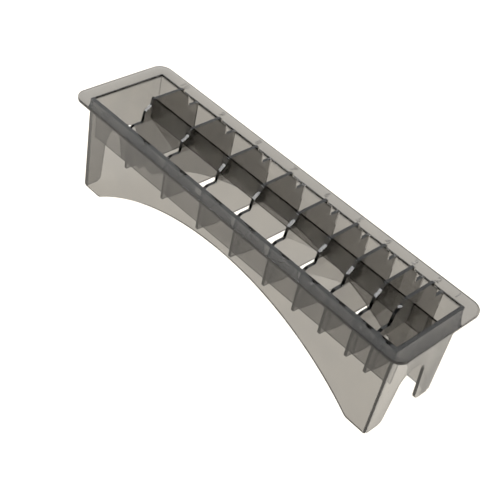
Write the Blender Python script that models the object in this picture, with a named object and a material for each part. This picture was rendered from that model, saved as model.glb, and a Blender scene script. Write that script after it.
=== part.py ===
"""Storage rack for clipper guard combs: a long smoked plastic tray on four arched corner legs.

The real rack is one injection moulding. It is modelled here as its natural walls, one object each: the flat
rim, two side walls, two end walls, nine crowned dividers and, in every compartment, a front and a back rail:
upright strips on whose top edges the combs rest. All are plates, so most are one outline given a thickness.

Metres, +Z up, +X along the rack. The origin is on the ground under the middle of the rack.
"""

import math

import bpy

# Driving dimensions
RIM_LENGTH = 0.275
RIM_WIDTH = 0.074
RIM_HEIGHT = 0.0695
RIM_THICKNESS = 0.002
RIM_CORNER_RADIUS = 0.0085
RIM_EDGE_ROUNDING = 0.0005
OPENING_LENGTH = 0.2544
OPENING_WIDTH = 0.0546
OPENING_CORNER_RADIUS = 0.0008
WALL = 0.002
DRAFT = 0.0009 / RIM_HEIGHT
JOINT_GAP = 0.0003

ARCH_RADIUS = 0.1854
ARCH_TOP = RIM_HEIGHT - 0.0312
FOOT_FILLET = 0.005

NOTCH_RADIUS = 0.011
NOTCH_TOP = RIM_HEIGHT - 0.031
NOTCH_FOOT_HALF_WIDTH = 0.0148
NOTCH_FOOT_FILLET = 0.0048

DIVIDER_THICKNESS = 0.002
DIVIDER_BOTTOM = RIM_HEIGHT - 0.031
SHOULDER_HEIGHT = RIM_HEIGHT + 0.001
CROWN_SHOULDER_HALF_WIDTH = 0.0188
CROWN_WAIST_HALF_WIDTH = 0.0178
CROWN_NECK_HALF_WIDTH = 0.0132
CROWN_TOP_HALF_WIDTH = 0.0124
CROWN_WAIST_HEIGHT = RIM_HEIGHT + 0.0083
CROWN_NECK_HEIGHT = RIM_HEIGHT + 0.0120
CROWN_TOP_HEIGHT = RIM_HEIGHT + 0.0158

RAIL_OFFSET = 0.0216
RAIL_THICKNESS = 0.0015
RAIL_TOP = RIM_HEIGHT - 0.0152

# Clear width of each compartment, from the widest comb's to the narrowest's
COMPARTMENTS = (0.0349, 0.0332, 0.0308, 0.0273, 0.0265, 0.0223, 0.0188, 0.0184, 0.0122)

ARC_STEPS = 48
CORNER_STEPS = 10
FILLET_STEPS = 6
ON_AXIS = 1e-9

SMOKE = (0.075, 0.068, 0.060, 1.0)


def outer_half_length(z):
    """Half the tray's outer length at height z: the end walls lean in towards the ground."""
    return OPENING_LENGTH / 2 + WALL - DRAFT * (RIM_HEIGHT - z)


def outer_half_width(z):
    """Half the tray's outer width at height z: the side walls lean in towards the ground."""
    return OPENING_WIDTH / 2 + WALL - DRAFT * (RIM_HEIGHT - z)


def arc(centre, radius, start, end, steps):
    """Points on a circle about centre, from angle start to angle end in degrees, both ends included."""
    points = []
    for i in range(steps + 1):
        angle = math.radians(start + (end - start) * i / steps)
        points.append((centre[0] + radius * math.cos(angle), centre[1] + radius * math.sin(angle)))
    return points


def rounded_corner(before, corner, after, radius, steps):
    """Points of an arc that rounds the corner between two straight runs."""
    to_before = (before[0] - corner[0], before[1] - corner[1])
    to_after = (after[0] - corner[0], after[1] - corner[1])
    a = math.atan2(to_before[1], to_before[0])
    b = math.atan2(to_after[1], to_after[0])
    turn = (b - a + math.pi) % (2 * math.pi) - math.pi
    half = abs(turn) / 2
    middle = a + turn / 2
    reach = radius / math.sin(half)
    centre = (corner[0] + reach * math.cos(middle), corner[1] + reach * math.sin(middle))
    sweep = math.pi - 2 * half
    first = middle + math.pi - math.copysign(sweep / 2, -turn)
    points = []
    for i in range(steps + 1):
        angle = first + math.copysign(sweep, -turn) * i / steps
        points.append((centre[0] + radius * math.cos(angle), centre[1] + radius * math.sin(angle)))
    return points


def mirrored(half):
    """A closed outline from its right half, which runs from the axis on top round to the axis below."""
    left = [(-u, v) for u, v in reversed(half) if u > ON_AXIS]
    return half + left


def smoked_plastic(name):
    """Clear smoke-grey plastic with a moulded gloss."""
    material = bpy.data.materials.new(name)
    material.use_nodes = True
    shader = material.node_tree.nodes["Principled BSDF"]
    shader.inputs["Base Color"].default_value = SMOKE
    shader.inputs["Roughness"].default_value = 0.12
    shader.inputs["Metallic"].default_value = 0.0
    shader.inputs["Alpha"].default_value = 0.6
    material.diffuse_color = (SMOKE[0], SMOKE[1], SMOKE[2], 0.6)
    return material


def add_object(name, vertices, faces, location=(0.0, 0.0, 0.0)):
    mesh = bpy.data.meshes.new(name)
    mesh.from_pydata(vertices, [], faces)
    mesh.validate()
    mesh.update()
    obj = bpy.data.objects.new(name, mesh)
    obj.location = location
    obj.data.materials.append(smoked_plastic(name + "_plastic"))
    bpy.context.scene.collection.objects.link(obj)
    return obj


def plate(name, outline, near, far, location=(0.0, 0.0, 0.0)):
    """A solid plate. near and far map an outline's point to its place on the two faces.

    The outline runs anticlockwise as seen from the near side.
    """
    count = len(outline)
    vertices = [near(u, v) for u, v in outline] + [far(u, v) for u, v in outline]
    faces = [tuple(range(count)), tuple(reversed(range(count, 2 * count)))]
    for i in range(count):
        j = (i + 1) % count
        faces.append((j, i, i + count, j + count))
    return add_object(name, vertices, faces, location)


def rounded_rectangle(half_length, half_width, radius, z):
    """Corner arcs of a rounded rectangle, anticlockwise from +X, all at height z."""
    points = []
    for sx, sy, start in ((1, 1, 0), (-1, 1, 90), (-1, -1, 180), (1, -1, 270)):
        centre = (sx * (half_length - radius), sy * (half_width - radius))
        for x, y in arc(centre, radius, start, start + 90, CORNER_STEPS):
            points.append((x, y, z))
    return points


def rim():
    """The flat rim: a rounded rectangle with the tray's opening in it, softened along its outer edge."""
    length = RIM_LENGTH / 2
    width = RIM_WIDTH / 2
    soft = RIM_EDGE_ROUNDING
    bottom = RIM_HEIGHT - RIM_THICKNESS
    opening = (OPENING_LENGTH / 2, OPENING_WIDTH / 2, OPENING_CORNER_RADIUS)
    rings = [
        rounded_rectangle(*opening, bottom),
        rounded_rectangle(length - soft, width - soft, RIM_CORNER_RADIUS - soft, bottom),
        rounded_rectangle(length, width, RIM_CORNER_RADIUS, bottom + soft),
        rounded_rectangle(length, width, RIM_CORNER_RADIUS, RIM_HEIGHT - soft),
        rounded_rectangle(length - soft, width - soft, RIM_CORNER_RADIUS - soft, RIM_HEIGHT),
        rounded_rectangle(*opening, RIM_HEIGHT),
    ]
    count = len(rings[0])
    vertices = [point for ring in rings for point in ring]
    faces = []
    for r in range(len(rings)):
        here = r * count
        there = (r + 1) % len(rings) * count
        for i in range(count):
            j = (i + 1) % count
            faces.append((here + i, here + j, there + j, there + i))
    return add_object("rim", vertices, faces)


def wall_top():
    """The height at which the walls meet the rim from below."""
    return RIM_HEIGHT - RIM_THICKNESS - JOINT_GAP


def end_wall_reach(z):
    """How far the end walls go to each side at height z, between the side walls."""
    return outer_half_width(z) - WALL - JOINT_GAP


def side_wall_outline():
    """A side wall in X and Z: straight on top, with a wide round arch between its two legs."""
    top = wall_top()
    centre_depth = ARCH_RADIUS - ARCH_TOP
    foot = math.sqrt(ARCH_RADIUS**2 - centre_depth**2)
    along_arch = (foot - centre_depth, foot)
    fillet = rounded_corner((outer_half_length(0), 0.0), (foot, 0.0), along_arch, FOOT_FILLET, FILLET_STEPS)
    start = math.degrees(math.atan2(fillet[-1][1] + centre_depth, fillet[-1][0]))
    arch = arc((0.0, -centre_depth), ARCH_RADIUS, start, 90, ARC_STEPS // 2)
    half = [(0.0, top), (outer_half_length(top), top), (outer_half_length(0), 0.0)]
    return mirrored(half + fillet + arch[1:])


def side_wall(name, side):
    """side is -1 for the front wall and +1 for the back wall."""
    def outside(x, z):
        return (x, side * outer_half_width(z), z)

    def inside(x, z):
        return (x, side * (outer_half_width(z) - WALL), z)

    outline = side_wall_outline()
    if side < 0:
        outline.reverse()
    return plate(name, outline, outside, inside)


def end_wall_outline():
    """An end wall in Y and Z: an arched notch leaves a leg at each corner."""
    top = wall_top()
    springing = (NOTCH_RADIUS, NOTCH_TOP - NOTCH_RADIUS)
    heel = (end_wall_reach(0), 0.0)
    toe = (NOTCH_FOOT_HALF_WIDTH, 0.0)
    fillet = rounded_corner(heel, toe, springing, NOTCH_FOOT_FILLET, FILLET_STEPS)
    arch = arc((0.0, springing[1]), NOTCH_RADIUS, 0, 90, 2 * FILLET_STEPS)
    half = [(0.0, top), (end_wall_reach(top), top), heel]
    return mirrored(half + fillet + arch)


def end_wall(name, side):
    """side is -1 for the left wall and +1 for the right wall."""
    def outside(y, z):
        return (side * outer_half_length(z), y, z)

    def inside(y, z):
        return (side * (outer_half_length(z) - WALL), y, z)

    outline = end_wall_outline()
    if side > 0:
        outline.reverse()
    return plate(name, outline, outside, inside)


def divider_outline():
    """A divider in Y and Z: shoulders just above the rim, and a stepped crown that stands over them."""
    rim_reach = end_wall_reach(RIM_HEIGHT)
    half = [
        (0.0, CROWN_TOP_HEIGHT),
        (CROWN_TOP_HALF_WIDTH, CROWN_TOP_HEIGHT),
        (CROWN_NECK_HALF_WIDTH, CROWN_NECK_HEIGHT),
        (CROWN_WAIST_HALF_WIDTH, CROWN_WAIST_HEIGHT),
        (CROWN_SHOULDER_HALF_WIDTH, SHOULDER_HEIGHT),
        (rim_reach, SHOULDER_HEIGHT),
        (rim_reach, RIM_HEIGHT),
        (end_wall_reach(DIVIDER_BOTTOM), DIVIDER_BOTTOM),
        (0.0, DIVIDER_BOTTOM),
    ]
    return mirrored(half)


def divider(number, x):
    """x is the middle of the divider's thickness."""
    def left(y, z):
        return (-DIVIDER_THICKNESS / 2, y, z)

    def right(y, z):
        return (DIVIDER_THICKNESS / 2, y, z)

    return plate(f"divider_{number}", divider_outline(), left, right, (x, 0.0, 0.0))


def rail(name, side, left, right):
    """One compartment's upright rail beside a side wall, between x = left(z) and x = right(z)."""
    inner = side * (RAIL_OFFSET - RAIL_THICKNESS / 2)
    outer = side * (RAIL_OFFSET + RAIL_THICKNESS / 2)
    outline = [(inner, DIVIDER_BOTTOM), (inner, RAIL_TOP), (outer, RAIL_TOP), (outer, DIVIDER_BOTTOM)]
    if side < 0:
        outline.reverse()
    return plate(name, outline, lambda y, z: (left(z), y, z), lambda y, z: (right(z), y, z))


def divider_places():
    """The middle of each divider, counted off from the left end wall by the compartments' widths."""
    places = []
    x = -OPENING_LENGTH / 2
    for width in COMPARTMENTS:
        x += width + DIVIDER_THICKNESS / 2
        places.append(x)
        x += DIVIDER_THICKNESS / 2
    return places


def build():
    for old in list(bpy.data.objects):
        bpy.data.objects.remove(old)
    rim()
    side_wall("front_wall", -1)
    side_wall("back_wall", 1)
    end_wall("left_end_wall", -1)
    end_wall("right_end_wall", 1)
    places = divider_places()
    for number, x in enumerate(places, 1):
        divider(number, x)
    clear = DIVIDER_THICKNESS / 2 + JOINT_GAP

    def end(z):
        return outer_half_length(z) - WALL - JOINT_GAP

    lefts = [lambda z: -end(z)] + [lambda z, x=x: x + clear for x in places]
    rights = [lambda z, x=x: x - clear for x in places] + [end]
    for number, (left, right) in enumerate(zip(lefts, rights), 1):
        rail(f"front_rail_{number}", -1, left, right)
        rail(f"back_rail_{number}", 1, left, right)


build()
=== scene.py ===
"""Looks of the rack for clipper guard combs: one clear smoke-grey moulding, made here wall by wall.

Every plate of the CAD model is rebuilt with softened edges, and it runs a hair into its neighbours,
because light goes through the real moulding as through one piece. Raised numerals on the rim count the
compartments. Metres, in the CAD model's frame.
"""
import math

import bmesh
import bpy
from mathutils import Matrix, Vector


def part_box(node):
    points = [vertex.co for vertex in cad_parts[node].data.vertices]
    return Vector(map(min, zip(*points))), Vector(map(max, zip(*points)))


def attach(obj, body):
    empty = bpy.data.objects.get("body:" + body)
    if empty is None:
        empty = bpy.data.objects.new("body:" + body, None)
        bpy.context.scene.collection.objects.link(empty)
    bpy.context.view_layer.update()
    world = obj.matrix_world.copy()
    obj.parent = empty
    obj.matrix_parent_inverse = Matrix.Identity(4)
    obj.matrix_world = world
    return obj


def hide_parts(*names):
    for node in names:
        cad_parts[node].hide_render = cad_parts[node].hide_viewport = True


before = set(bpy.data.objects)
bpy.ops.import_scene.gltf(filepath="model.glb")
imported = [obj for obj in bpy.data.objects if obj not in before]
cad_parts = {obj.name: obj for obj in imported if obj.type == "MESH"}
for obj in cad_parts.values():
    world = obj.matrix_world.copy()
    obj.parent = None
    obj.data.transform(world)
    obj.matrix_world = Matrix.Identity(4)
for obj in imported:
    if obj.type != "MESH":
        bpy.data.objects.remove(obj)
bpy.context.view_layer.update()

MM = 0.001

# The moulding as a whole
RIM_LOW, RIM_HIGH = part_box("rim")
RIM_BOTTOM = RIM_LOW[2]
RIM_TOP = RIM_HIGH[2]
OPENING_HALF_LENGTH = 127.2 * MM
OPENING_HALF_WIDTH = 27.3 * MM
WALL = 2.0 * MM
LEAN = 0.9 * MM / RIM_TOP  # the walls lean in towards the ground, by 0.9 mm in all
DIVIDERS = 9

JOIN = 0.03 * MM  # how far a piece runs into the one it is moulded to
SOFT = 0.22 * MM  # rounding of the walls' and rails' free edges
FILLET_STEPS = 5
SHARP_ABOVE = 0.6  # radians: only edges that turn by more than this are rounded
SMOOTH_BELOW = math.radians(20)

# Rim
RIM_CORNER_RADIUS = 8.5 * MM
RIM_CORNER_STEPS = 10
RIM_EDGE_ROUNDING = 0.2 * MM
OPENING_CORNER_RADIUS = 0.8 * MM
OPENING_EDGE_ROUNDING = 0.3 * MM
EDGE_STEPS = 4
RIM_FILLET = 0.25 * MM

# Side walls, each with one wide arch
ARCH_RADIUS = 185.4 * MM
ARCH_TOP = RIM_TOP - 31.2 * MM
ARCH_STEPS = 40
ARCH_FOOT_FILLET = 5.0 * MM
ARCH_FOOT_TURN = 2.2  # degrees of the arc left out at each foot, where the fillet is
FOOT_CORNER_RADIUS = 2.0 * MM
CORNER_ROUNDING = 0.4 * MM
CORNER_EDGE_STEPS = 5

# End walls, each with a narrow notch
NOTCH_RADIUS = 11.0 * MM
NOTCH_TOP = RIM_TOP - 31.0 * MM
NOTCH_STEPS = 14
NOTCH_FOOT_HALF_WIDTH = 14.8 * MM
NOTCH_FOOT_FILLET = 4.8 * MM
CORNER_FILLET = 0.4 * MM

# Dividers
CROWN = (  # half widths, heights above the rim and corner roundings, from the shoulder up
    (18.8 * MM, 1.0 * MM, 0.6 * MM),
    (17.8 * MM, 8.3 * MM, 1.2 * MM),
    (13.2 * MM, 12.0 * MM, 1.2 * MM),
    (12.4 * MM, 15.8 * MM, 0.7 * MM),
)
SHOULDER_SLOPE = 2.2 * MM  # length over which the shoulder runs down to the rim
SHOULDER_LIP = 0.15 * MM
SHOULDER_ROUNDING = 0.8 * MM
DIVIDER_SOFT = 0.72 * MM  # at most: the rounding stops sooner where two of them would meet
DIVIDER_FILLET = 0.25 * MM

RAIL_FILLET = 0.25 * MM

# Numerals
NUMERAL_SIZE = 6.6 * MM
NUMERAL_HEIGHT = 0.18 * MM  # half of the raised strokes' height
NUMERAL_CURVE_STEPS = 5

# Plastic: noise scales are per metre
HAZY_TINT = (0.93, 0.935, 0.95)
CLEAR_TINT = (1.0, 1.0, 1.0)
CLOUD_SCALE = 38.0
CLOUD_DETAIL = 3.0
CLOUD_STOPS = (0.35, 0.65)
RUB_SCALE = 160.0
RUB_DETAIL = 6.0
RUB_STRETCH = (0.35, 1.0, 1.0)
RUB_STOPS = (0.40, 0.72)
POLISHED = (0.015,) * 3
RUBBED = (0.085,) * 3
RIPPLE_SCALE = 95.0
RIPPLE_DETAIL = 1.0
RIPPLE_DEPTH = 0.012 * MM
PLASTIC_IOR = 1.5
SMOKE_COLOUR = (0.398, 0.387, 0.366, 1.0)
SMOKE_DENSITY = 860.0

# Floor
FLOOR_SIZE = 6.0
FLOOR_DROP = 0.2 * MM
FLOOR_COLOUR = (0.25, 0.25, 0.25, 1.0)
FLOOR_ROUGHNESS = 0.9
FLOOR_GLOW = (1.0, 0.945, 0.855, 1.0)
FLOOR_GLOW_STRENGTH = 1.2

# Studio: pale walls up to about 20 degrees above the horizon, a dim ceiling over them
WALLS_END = 0.33
CEILING_START = 0.5
PALE_WALLS = (0.93, 0.94, 0.95, 1.0)
DIM_CEILING = (0.18, 0.19, 0.2, 1.0)
SOFTBOXES = (  # name, place, side of the square and watts
    ("key_softbox", (-0.9, -0.95, 1.5), 0.7, 13.0),
    ("top_softbox", (-0.75, 0.95, 1.05), 1.3, 5.5),
)
SOFTBOX_TARGET = (0, 0, 0.05)

# Camera: its place, its turns in degrees and its focal length in millimetres
CAMERA_PLACE = (304.957 * MM, -391.042 * MM, RIM_TOP + 380.4 * MM)
CAMERA_HEADING = 38.11
CAMERA_DIP = 40.575
CAMERA_ROLL = 13.05
CAMERA_LENS = 77.07

# Tolerances
ON_AXIS = 1e-9
SAME_POINT = 1e-7
SAME_LEVEL = 0.05 * MM
NEAR_END = 0.1 * MM
TALL = 20 * MM
FACING = 0.99  # cosine of the angle within which a face still looks in a direction

UP = (0, 0, 1)
ALONG = (1, 0, 0)
BACK_ALONG = (-1, 0, 0)
ACROSS = (0, 1, 0)
BACK_ACROSS = (0, -1, 0)


def inner_half_width(z):
    """Half the tray's inner width at height z: the side walls lean in towards the ground."""
    return OPENING_HALF_WIDTH - LEAN * (RIM_TOP - min(z, RIM_TOP))


def inner_half_length(z):
    """Half the tray's inner length at height z: the end walls lean in as well."""
    return OPENING_HALF_LENGTH - LEAN * (RIM_TOP - min(z, RIM_TOP))


def compartments():
    """The compartments from left to right, each as two functions that give its ends' x at height z."""
    lefts = [lambda z: -inner_half_length(z)]
    rights = []
    for number in range(1, DIVIDERS + 1):
        low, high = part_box(f"divider_{number}")
        rights.append(lambda z, x=low[0]: x)
        lefts.append(lambda z, x=high[0]: x)
    rights.append(inner_half_length)
    return list(zip(lefts, rights))


# Outlines

def arc(centre, radius, start, end, steps):
    """Points on a circle from angle start to angle end in degrees, both ends included."""
    points = []
    for i in range(steps + 1):
        angle = math.radians(start + (end - start) * i / steps)
        points.append((centre[0] + radius * math.cos(angle), centre[1] + radius * math.sin(angle)))
    return points


def rounded(corners, steps=6):
    """A closed outline from corners (u, v, radius), each rounded by an arc that touches both sides."""
    points = []
    count = len(corners)
    for i, (u, v, radius) in enumerate(corners):
        here = Vector((u, v))
        if radius <= 0:
            points.append((u, v))
            continue
        back = (Vector(corners[i - 1][:2]) - here).normalized()
        ahead = (Vector(corners[(i + 1) % count][:2]) - here).normalized()
        half = back.angle(ahead) / 2
        middle = (back + ahead).normalized()
        centre = here + middle * (radius / math.sin(half))
        first = here + back * (radius / math.tan(half)) - centre
        last = here + ahead * (radius / math.tan(half)) - centre
        sweep = first.angle_signed(last)
        for k in range(steps + 1):
            turned = Matrix.Rotation(-sweep * k / steps, 2) @ first
            points.append((centre.x + turned.x, centre.y + turned.y))
    return points


def mirrored(half):
    """A closed outline from its right half, which runs from the axis on top round to the axis below."""
    return half + [(-u, *rest) for u, *rest in reversed(half) if u > ON_AXIS]


# Meshes

def finish_piece(name, bm, node=None):
    """Makes the visible piece, in the place of a node of the CAD model if there is one."""
    bmesh.ops.remove_doubles(bm, verts=bm.verts, dist=SAME_POINT)
    bmesh.ops.recalc_face_normals(bm, faces=bm.faces)
    mesh = bpy.data.meshes.new(name)
    bm.to_mesh(mesh)
    bm.free()
    mesh.shade_smooth()
    mesh.set_sharp_from_angle(angle=SMOOTH_BELOW)
    piece = bpy.data.objects.new(name, mesh)
    bpy.context.scene.collection.objects.link(piece)
    mesh.materials.append(SMOKE)
    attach(piece, "root")
    if node:
        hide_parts(node)


def prism(outline, near, far):
    """A closed solid between an outline's two placings."""
    bm = bmesh.new()
    lower = [bm.verts.new(near(u, v)) for u, v in outline]
    upper = [bm.verts.new(far(u, v)) for u, v in outline]
    bm.faces.new(lower)
    bm.faces.new(upper[::-1])
    for i in range(len(outline)):
        j = (i + 1) % len(outline)
        bm.faces.new((lower[j], lower[i], upper[i], upper[j]))
    bmesh.ops.recalc_face_normals(bm, faces=bm.faces)
    bm.normal_update()
    return bm


def end_faces(bm, *directions):
    """The outermost faces that look in each direction, give or take the walls' lean."""
    bm.normal_update()
    found = []
    for direction in map(Vector, directions):
        faces = [f for f in bm.faces if f.normal.dot(direction) > FACING]
        reach = max(f.calc_center_median().dot(direction) for f in faces)
        found += [f for f in faces if f.calc_center_median().dot(direction) > reach - SAME_LEVEL]
    return found


def soften(bm, joined, width=SOFT):
    """Rounds the sharp edges, apart from those round the faces that are moulded to a neighbour."""
    kept = {e for f in joined for e in f.edges}
    free = [e for e in bm.edges if e not in kept and len(e.link_faces) == 2]
    sharp = [e for e in free if e.calc_face_angle() > SHARP_ABOVE]
    bmesh.ops.bevel(bm, geom=sharp, offset=width, segments=2, profile=0.5, affect="EDGES",
                    clamp_overlap=True)


def flare(bm, direction, axis, radius, sides=(-1, 1)):
    """Lengthens the end that looks in a direction into its neighbour, and widens it along axis by a
    fillet, on the sides named: -1 is the lower side along axis, 1 the higher."""
    faces = end_faces(bm, direction)
    direction = Vector(direction)
    axis = Vector(axis)
    middle = max(faces, key=lambda f: f.calc_area()).calc_center_median().dot(axis)
    stops = []
    for k in range(1, FILLET_STEPS + 1):
        turn = math.radians(90 * k / FILLET_STEPS)
        stops.append((radius * math.sin(turn), radius * (1 - math.cos(turn))))
    stops.append((radius + JOIN, radius))
    reached = 0.0
    widened = 0.0
    for reach, wide in stops:
        grown = bmesh.ops.extrude_face_region(bm, geom=faces)["geom"]
        bmesh.ops.delete(bm, geom=faces, context="FACES")
        faces = [g for g in grown if isinstance(g, bmesh.types.BMFace)]
        for vert in {v for f in faces for v in f.verts}:
            side = math.copysign(1, vert.co.dot(axis) - middle)
            vert.co += direction * (reach - reached)
            if side in sides:
                vert.co += axis * side * (wide - widened)
        reached = reach
        widened = wide


# Material

def smoked_plastic():
    """Clear smoke-grey plastic that absorbs evenly, with hazy clouds, moulding ripples and fine rubs."""
    material = bpy.data.materials.new("smoked_plastic")
    material.use_nodes = True
    nodes = material.node_tree.nodes
    links = material.node_tree.links
    shader = nodes["Principled BSDF"]
    shader.inputs["Transmission Weight"].default_value = 1.0
    shader.inputs["IOR"].default_value = PLASTIC_IOR
    place = nodes.new("ShaderNodeTexCoord").outputs["Object"]

    def noise(scale, detail, stretch=(1.0, 1.0, 1.0)):
        mapping = nodes.new("ShaderNodeMapping")
        mapping.inputs["Scale"].default_value = stretch
        texture = nodes.new("ShaderNodeTexNoise")
        texture.inputs["Scale"].default_value = scale
        texture.inputs["Detail"].default_value = detail
        links.new(place, mapping.inputs["Vector"])
        links.new(mapping.outputs["Vector"], texture.inputs["Vector"])
        return texture.outputs["Fac"]

    def ramp(source, stops, *colours):
        made = nodes.new("ShaderNodeValToRGB")
        for element, position, colour in zip(made.color_ramp.elements, stops, colours):
            element.position = position
            element.color = (*colour, 1.0)
        links.new(source, made.inputs["Fac"])
        return made.outputs["Color"]

    def bump(height, distance):
        made = nodes.new("ShaderNodeBump")
        made.inputs["Strength"].default_value = 1.0
        made.inputs["Distance"].default_value = distance
        links.new(height, made.inputs["Height"])
        return made.outputs["Normal"]

    clouds = noise(CLOUD_SCALE, CLOUD_DETAIL)
    rubs = noise(RUB_SCALE, RUB_DETAIL, RUB_STRETCH)
    ripple = noise(RIPPLE_SCALE, RIPPLE_DETAIL)
    links.new(ramp(clouds, CLOUD_STOPS, HAZY_TINT, CLEAR_TINT), shader.inputs["Base Color"])
    links.new(ramp(rubs, RUB_STOPS, POLISHED, RUBBED), shader.inputs["Roughness"])
    links.new(bump(ripple, RIPPLE_DEPTH), shader.inputs["Normal"])
    volume = nodes.new("ShaderNodeVolumeAbsorption")
    volume.inputs["Color"].default_value = SMOKE_COLOUR
    volume.inputs["Density"].default_value = SMOKE_DENSITY
    links.new(volume.outputs["Volume"], nodes["Material Output"].inputs["Volume"])
    return material


SMOKE = smoked_plastic()


# Pieces

def make_rim():
    """The flat rim: a rounded rectangle with the tray's opening in it and rounded edges."""
    def ring(half_length, half_width, radius, spread, z):
        length = half_length + spread
        width = half_width + spread
        corners = [(length, -width), (length, width), (-length, width), (-length, -width)]
        outline = rounded([(x, y, radius + spread) for x, y in corners], RIM_CORNER_STEPS)
        return [(x, y, z) for x, y in outline]

    opening = (OPENING_HALF_LENGTH, OPENING_HALF_WIDTH, OPENING_CORNER_RADIUS)
    outside = (RIM_HIGH[0], RIM_HIGH[1], RIM_CORNER_RADIUS)
    edge = RIM_EDGE_ROUNDING
    brink = OPENING_EDGE_ROUNDING
    lower_edge = arc((-edge, RIM_BOTTOM + edge), edge, -90, 0, EDGE_STEPS)
    upper_edge = arc((-edge, RIM_TOP - edge), edge, 0, 90, EDGE_STEPS)
    opening_edge = arc((brink, RIM_TOP - brink), brink, 90, 180, EDGE_STEPS)
    rings = [ring(*opening, 0.0, RIM_BOTTOM)]
    rings += [ring(*outside, spread, z) for spread, z in lower_edge + upper_edge]
    rings += [ring(*opening, spread, z) for spread, z in opening_edge]

    bm = bmesh.new()
    made = [[bm.verts.new(point) for point in points] for points in rings]
    count = len(made[0])
    for here, there in zip(made, made[1:] + made[:1]):
        for i in range(count):
            j = (i + 1) % count
            bm.faces.new((here[i], here[j], there[j], there[i]))
    finish_piece("moulded_rim", bm, "rim")


def side_wall_outline(top):
    """A side wall in (x, z): it reaches to the corners and stands on both sides of its arch."""
    rise = ARCH_RADIUS - ARCH_TOP
    foot = math.sqrt(ARCH_RADIUS**2 - rise**2)
    foot_angle = math.degrees(math.atan2(rise, foot))
    arch = arc((0.0, -rise), ARCH_RADIUS, foot_angle + ARCH_FOOT_TURN, 90, ARCH_STEPS)
    half = [(0.0, top, 0.0), (inner_half_length(top) + WALL, top, 0.0),
            (inner_half_length(0) + WALL, 0.0, FOOT_CORNER_RADIUS), (foot, 0.0, ARCH_FOOT_FILLET)]
    half += [(u, v, 0.0) for u, v in arch[:-1]]
    half.append((0.0, ARCH_TOP, 0.0))
    return rounded(mirrored(half))


def make_side_wall(node, side):
    """The long wall at -y or +y, as side says, with rounded upright corners."""
    def is_corner(edge):
        at_end = all(abs(v.co.x) > inner_half_length(0) + WALL - NEAR_END for v in edge.verts)
        outside = all(side * v.co.y > inner_half_width(v.co.z) + WALL / 2 for v in edge.verts)
        return at_end and outside and abs(edge.verts[0].co.z - edge.verts[1].co.z) > TALL

    outline = side_wall_outline(RIM_BOTTOM - RIM_FILLET)
    bm = prism(outline, lambda x, z: (x, side * (inner_half_width(z) + WALL), z),
               lambda x, z: (x, side * inner_half_width(z), z))
    corners = [e for e in bm.edges if is_corner(e)]
    bmesh.ops.bevel(bm, geom=corners, offset=CORNER_ROUNDING, segments=CORNER_EDGE_STEPS,
                    profile=0.5, affect="EDGES")
    soften(bm, end_faces(bm, UP))
    flare(bm, UP, ACROSS, RIM_FILLET, sides=(side,))
    finish_piece(f"moulded_{node}", bm, node)


def end_wall_outline(top):
    """An end wall in (y, z): it fits between the side walls and stands on both sides of its notch."""
    notch = arc((0.0, NOTCH_TOP - NOTCH_RADIUS), NOTCH_RADIUS, 0, 90, NOTCH_STEPS)
    half = [(0.0, top, 0.0), (inner_half_width(top) - CORNER_FILLET, top, 0.0),
            (inner_half_width(0) - CORNER_FILLET, 0.0, 0.0),
            (NOTCH_FOOT_HALF_WIDTH, 0.0, NOTCH_FOOT_FILLET)]
    half += [(u, v, 0.0) for u, v in notch]
    return rounded(mirrored(half))


def make_end_wall(node, side):
    """The short wall at -x or +x, as side says."""
    outline = end_wall_outline(RIM_BOTTOM - RIM_FILLET)
    bm = prism(outline, lambda y, z: (side * (inner_half_length(z) + WALL), y, z),
               lambda y, z: (side * inner_half_length(z), y, z))
    soften(bm, end_faces(bm, ACROSS, BACK_ACROSS, UP))
    for way in (ACROSS, BACK_ACROSS):
        flare(bm, way, ALONG, CORNER_FILLET, sides=(-side,))
    flare(bm, UP, ALONG, RIM_FILLET, sides=(side,))
    finish_piece(f"moulded_{node}", bm, node)


def divider_outline(bottom):
    """A divider in (y, z): a plate with low shoulders and a stepped crown above the rim."""
    shoulder = RIM_TOP + CROWN[0][1]
    half = [(0.0, RIM_TOP + CROWN[-1][1], 0.0)]
    half += [(width, RIM_TOP + height, radius) for width, height, radius in reversed(CROWN)]
    half += [(inner_half_width(shoulder) - SHOULDER_SLOPE, shoulder, SHOULDER_ROUNDING),
             (inner_half_width(RIM_TOP) - DIVIDER_FILLET, RIM_TOP + SHOULDER_LIP, SHOULDER_LIP),
             (inner_half_width(bottom) - DIVIDER_FILLET, bottom, 0.0), (0.0, bottom, 0.0)]
    return rounded(mirrored(half))


def make_divider(node):
    low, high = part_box(node)
    bm = prism(divider_outline(low[2]), lambda y, z: (low[0], y, z), lambda y, z: (high[0], y, z))
    soften(bm, end_faces(bm, ACROSS, BACK_ACROSS), DIVIDER_SOFT)
    for way in (ACROSS, BACK_ACROSS):
        flare(bm, way, ALONG, DIVIDER_FILLET)
    finish_piece(f"moulded_{node}", bm, node)


def make_rail(node, left, right):
    """An upright strip between x = left(z) and x = right(z), its ends flared into its neighbours."""
    low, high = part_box(node)
    outline = [(low[1], low[2]), (high[1], low[2]), (high[1], high[2]), (low[1], high[2])]
    bm = prism(outline, lambda y, z: (left(z) + RAIL_FILLET, y, z),
               lambda y, z: (right(z) - RAIL_FILLET, y, z))
    soften(bm, end_faces(bm, ALONG, BACK_ALONG))
    for way in (ALONG, BACK_ALONG):
        flare(bm, way, ACROSS, RAIL_FILLET)
    finish_piece(f"moulded_{node}", bm, node)


def make_rails():
    for number, (left, right) in enumerate(compartments(), 1):
        for row in ("front", "back"):
            make_rail(f"{row}_rail_{number}", left, right)


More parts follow.
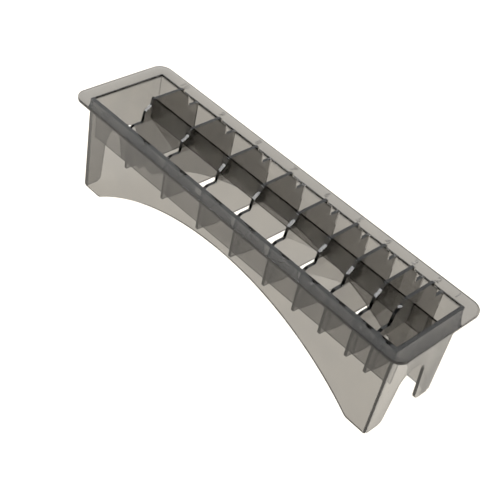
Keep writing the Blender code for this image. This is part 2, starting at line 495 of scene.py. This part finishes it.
def make_numeral(number, row, x, y):
    """A raised numeral on the rim, beside the compartment it counts."""
    text = bpy.data.curves.new("numeral", "FONT")
    text.body = str(number)
    text.size = NUMERAL_SIZE
    text.extrude = NUMERAL_HEIGHT
    text.align_x = "CENTER"
    text.align_y = "CENTER"
    text.resolution_u = NUMERAL_CURVE_STEPS
    pattern = bpy.data.objects.new("numeral", text)
    bpy.context.scene.collection.objects.link(pattern)
    bpy.context.view_layer.update()
    mesh = pattern.evaluated_get(bpy.context.evaluated_depsgraph_get()).to_mesh()
    bm = bmesh.new()
    bm.from_mesh(mesh)
    bpy.data.objects.remove(pattern)
    bmesh.ops.translate(bm, verts=bm.verts, vec=(x, y, RIM_TOP + NUMERAL_HEIGHT - JOIN))
    finish_piece(f"{row}_numeral_{number}", bm)


def make_numerals():
    """A row of numerals on each long side of the rim, with the highest at the left."""
    away = (OPENING_HALF_WIDTH + RIM_HIGH[1]) / 2
    numbers = range(DIVIDERS + 1, 0, -1)
    for number, (left, right) in zip(numbers, compartments()):
        x = (left(RIM_TOP) + right(RIM_TOP)) / 2
        make_numeral(number, "front", x, -away)
        make_numeral(number, "back", x, away)


# Stage

def make_floor():
    """A plain floor just under the feet, kept bright and even by a glow of its own."""
    mesh = bpy.data.meshes.new("floor")
    half = FLOOR_SIZE / 2
    corners = [(-half, -half), (half, -half), (half, half), (-half, half)]
    mesh.from_pydata([(x, y, -FLOOR_DROP) for x, y in corners], [], [(0, 1, 2, 3)])
    floor = bpy.data.objects.new("floor", mesh)
    material = bpy.data.materials.new("pale_floor")
    material.use_nodes = True
    shader = material.node_tree.nodes["Principled BSDF"]
    shader.inputs["Base Color"].default_value = FLOOR_COLOUR
    shader.inputs["Roughness"].default_value = FLOOR_ROUGHNESS
    shader.inputs["Specular IOR Level"].default_value = 0.0
    shader.inputs["Emission Color"].default_value = FLOOR_GLOW
    shader.inputs["Emission Strength"].default_value = FLOOR_GLOW_STRENGTH
    mesh.materials.append(material)
    bpy.context.scene.collection.objects.link(floor)


def add_softbox(name, place, size, power):
    """A square lamp, out of the camera's sight, that looks at the rack."""
    lamp = bpy.data.lights.new(name, "AREA")
    lamp.shape = "SQUARE"
    lamp.size = size
    lamp.energy = power
    light = bpy.data.objects.new(name, lamp)
    light.location = place
    light.visible_camera = False
    aim = Vector(SOFTBOX_TARGET) - Vector(place)
    light.rotation_euler = aim.to_track_quat("-Z", "Y").to_euler()
    bpy.context.scene.collection.objects.link(light)


def light_the_studio():
    """The surroundings, graded by height, and the two softboxes."""
    world = bpy.data.worlds.new("studio")
    world.use_nodes = True
    nodes = world.node_tree.nodes
    links = world.node_tree.links
    direction = nodes.new("ShaderNodeTexCoord").outputs["Generated"]
    parts = nodes.new("ShaderNodeSeparateXYZ")
    fade = nodes.new("ShaderNodeValToRGB")
    low, high = fade.color_ramp.elements
    low.position = WALLS_END
    low.color = PALE_WALLS
    high.position = CEILING_START
    high.color = DIM_CEILING
    links.new(direction, parts.inputs["Vector"])
    links.new(parts.outputs["Z"], fade.inputs["Fac"])
    links.new(fade.outputs["Color"], nodes["Background"].inputs["Color"])
    bpy.context.scene.world = world
    for softbox in SOFTBOXES:
        add_softbox(*softbox)


def add_camera():
    lens = bpy.data.cameras.new("camera")
    lens.lens = CAMERA_LENS
    camera = bpy.data.objects.new("camera", lens)
    turn = (Matrix.Rotation(math.radians(CAMERA_HEADING), 4, "Z")
            @ Matrix.Rotation(math.radians(90 - CAMERA_DIP), 4, "X")
            @ Matrix.Rotation(math.radians(CAMERA_ROLL), 4, "Z"))
    camera.matrix_world = Matrix.Translation(CAMERA_PLACE) @ turn
    bpy.context.scene.collection.objects.link(camera)
    bpy.context.scene.camera = camera


make_rim()
make_side_wall("front_wall", -1)
make_side_wall("back_wall", 1)
make_end_wall("left_end_wall", -1)
make_end_wall("right_end_wall", 1)
for number in range(1, DIVIDERS + 1):
    make_divider(f"divider_{number}")
make_rails()
make_numerals()
make_floor()
light_the_studio()
add_camera()
bpy.context.scene.view_settings.view_transform = "Standard"
